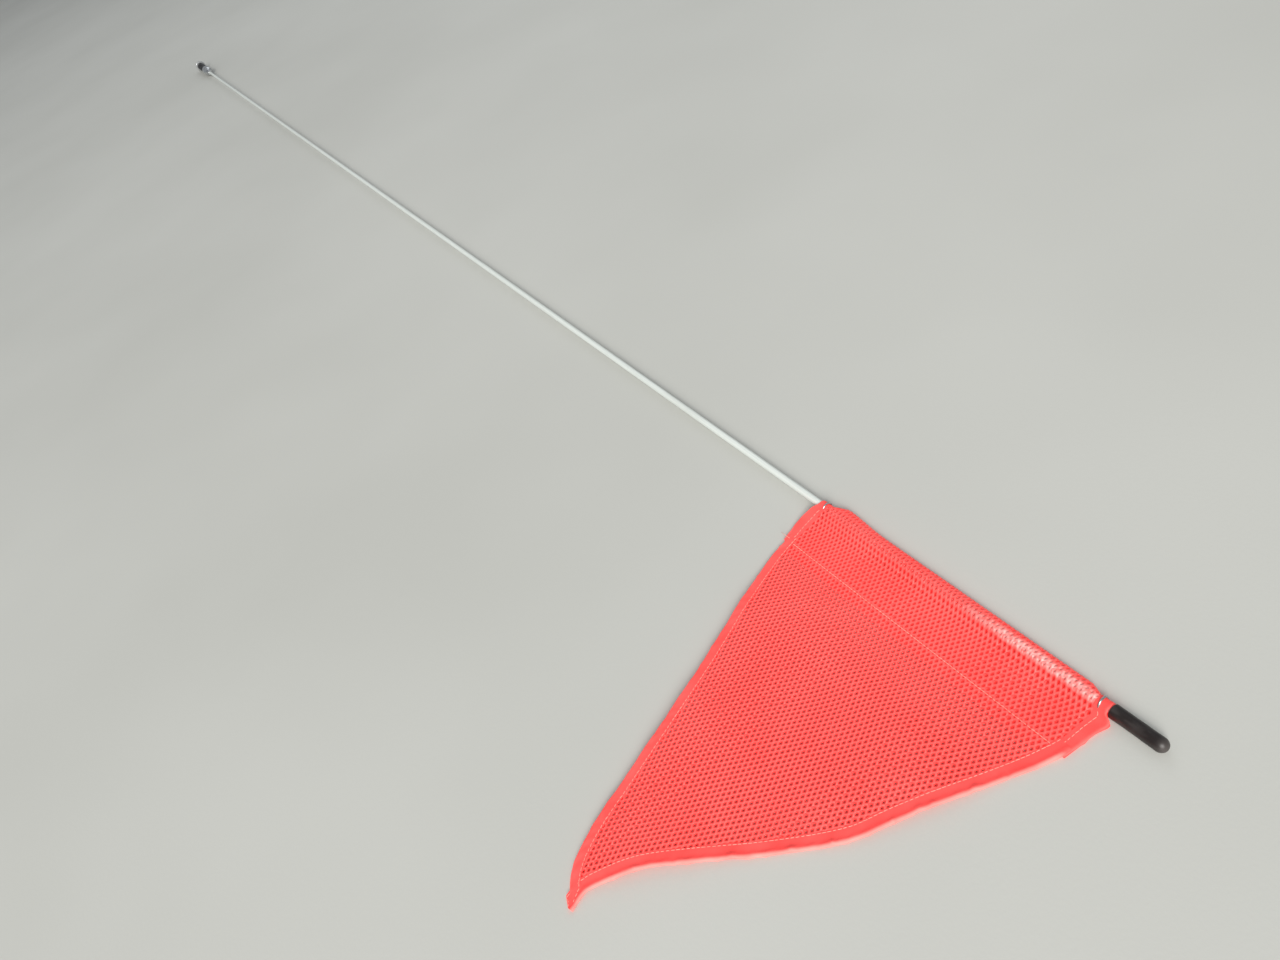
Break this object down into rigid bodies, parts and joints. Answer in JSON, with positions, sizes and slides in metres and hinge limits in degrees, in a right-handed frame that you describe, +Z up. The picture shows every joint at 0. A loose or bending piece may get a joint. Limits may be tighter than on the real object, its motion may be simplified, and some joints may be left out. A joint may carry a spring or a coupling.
{
  "type": "vehicle safety whip flag",
  "caption": "Long white fibreglass whip on a spring base, with a fluorescent mesh pennant sleeved on under a black end cap.",
  "frame": {"origin": "centre of the lying part's bounding box, at ground height", "axes": "+X along the rod from the base stud to the capped tip, +Z up from the ground it lies on, flag on the -Y side of the rod"},
  "size_m": [3.1561, 0.3632, 0.0265],
  "materials": {
    "zinc_steel": "zinc plated, satin",
    "black_steel": "black coated spring wire",
    "white_fibreglass": "white pultruded fibreglass, satin",
    "black_vinyl": "dipped black vinyl, satin",
    "fluorescent_mesh": "fluorescent red-orange knitted mesh",
    "fluorescent_tape": "fluorescent red-orange woven binding tape",
    "sewing_thread": "pale coral polyester thread",
    "ring_wire": "galvanised ring wire"
  },
  "bodies": {
    "base": {"base_stud": "zinc_steel", "base_spring": "black_steel"},
    "washers": {"flat_washer": "zinc_steel", "lock_washer": "zinc_steel"},
    "nut": {"mounting_nut": "zinc_steel"},
    "whip": {"rod_ferrule": "zinc_steel", "whip_rod": "white_fibreglass"},
    "tip_cap": {"tip_cap": "black_vinyl"},
    "flag": {"flag_cloth": "fluorescent_mesh", "lower_pocket_binding": "fluorescent_tape", "upper_pocket_binding": "fluorescent_tape", "lower_edge_binding": "fluorescent_tape", "upper_edge_binding": "fluorescent_tape", "pocket_seam_thread": "sewing_thread", "lower_pocket_thread": "sewing_thread", "upper_pocket_thread": "sewing_thread", "lower_edge_thread": "sewing_thread", "upper_edge_thread": "sewing_thread", "lower_hog_ring": "ring_wire", "upper_hog_ring": "ring_wire"}
  },
  "joints": [
    {"name": "whip_bend", "type": "hinge", "parent": "base", "child": "whip", "pos_m": [-1.50955, 0.16837, 0.01314], "axis": [0, 0, 1], "range_deg": [-60, 60], "stiffness_Nm_per_rad": 8, "deforming": ["base_spring"]},
    {"name": "flag_swivel", "type": "hinge", "parent": "whip", "child": "flag", "pos_m": [1.25045, 0.16837, 0.00648], "axis": [-1, 0, 0.0024], "continuous": true},
    {"name": "cap_pull", "type": "slide", "parent": "whip", "child": "tip_cap", "axis": [1, 0, -0.0024], "range_m": [0, 0.042]},
    {"name": "nut_travel", "type": "slide", "parent": "base", "child": "washers", "axis": [-1, 0, 0.0024], "range_m": [-0.0077, 0.012]},
    {"name": "nut_turn", "type": "hinge", "parent": "washers", "child": "nut", "pos_m": [-1.56965, 0.16837, 0.01329], "axis": [-1, 0, 0.0024], "range_deg": [-1970, 3070]}
  ],
  "couplings": [
    {"joint": "nut_turn", "follows": "nut_travel", "rad_per_m": 4453}
  ]
}
